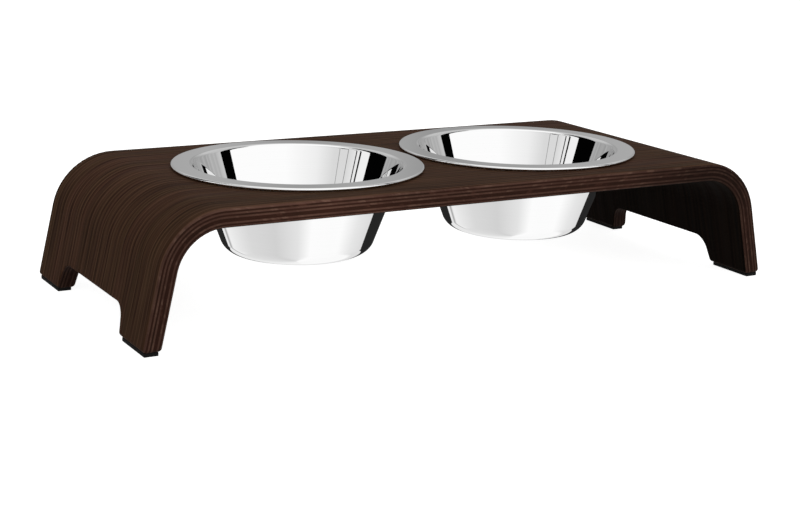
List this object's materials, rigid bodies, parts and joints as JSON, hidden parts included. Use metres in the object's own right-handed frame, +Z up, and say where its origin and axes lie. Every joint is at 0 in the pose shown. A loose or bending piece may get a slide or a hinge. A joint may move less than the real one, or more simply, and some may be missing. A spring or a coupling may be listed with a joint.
{
  "type": "double dog bowl stand",
  "caption": "Low feeding stand: a bridge of bent plywood with splayed legs and padded feet, holding lift-out steel bowls by their rims.",
  "frame": {"origin": "on the floor, below the middle of the stand", "axes": "+X along the stand to the right of the picture, -Y towards its front, +Z up"},
  "size_m": [0.5512, 0.235, 0.1035],
  "materials": {
    "face_veneer": "satin lacquer",
    "light_core_ply": "stained, sanded edge",
    "dark_core_ply": "stained, sanded edge",
    "bowl_steel": "mirror polished",
    "pad_rubber": "matt"
  },
  "bodies": {
    "stand": {"outer_face_veneer": "face_veneer", "core_ply_1": "light_core_ply", "core_ply_2": "dark_core_ply", "core_ply_3": "light_core_ply", "core_ply_4": "dark_core_ply", "core_ply_5": "light_core_ply", "core_ply_6": "dark_core_ply", "core_ply_7": "dark_core_ply", "core_ply_8": "light_core_ply", "core_ply_9": "dark_core_ply", "core_ply_10": "light_core_ply", "inner_face_veneer": "face_veneer", "foot_pad_front_left": "pad_rubber", "foot_pad_front_right": "pad_rubber", "foot_pad_back_left": "pad_rubber", "foot_pad_back_right": "pad_rubber"},
    "left_bowl": {"left_bowl": "bowl_steel"},
    "right_bowl": {"right_bowl": "bowl_steel"}
  },
  "joints": [
    {"name": "left_bowl_lift", "type": "slide", "parent": "stand", "child": "left_bowl", "axis": [0, 0, 1], "range_m": [0, 0.09]},
    {"name": "right_bowl_lift", "type": "slide", "parent": "stand", "child": "right_bowl", "axis": [0, 0, 1], "range_m": [0, 0.09]}
  ]
}
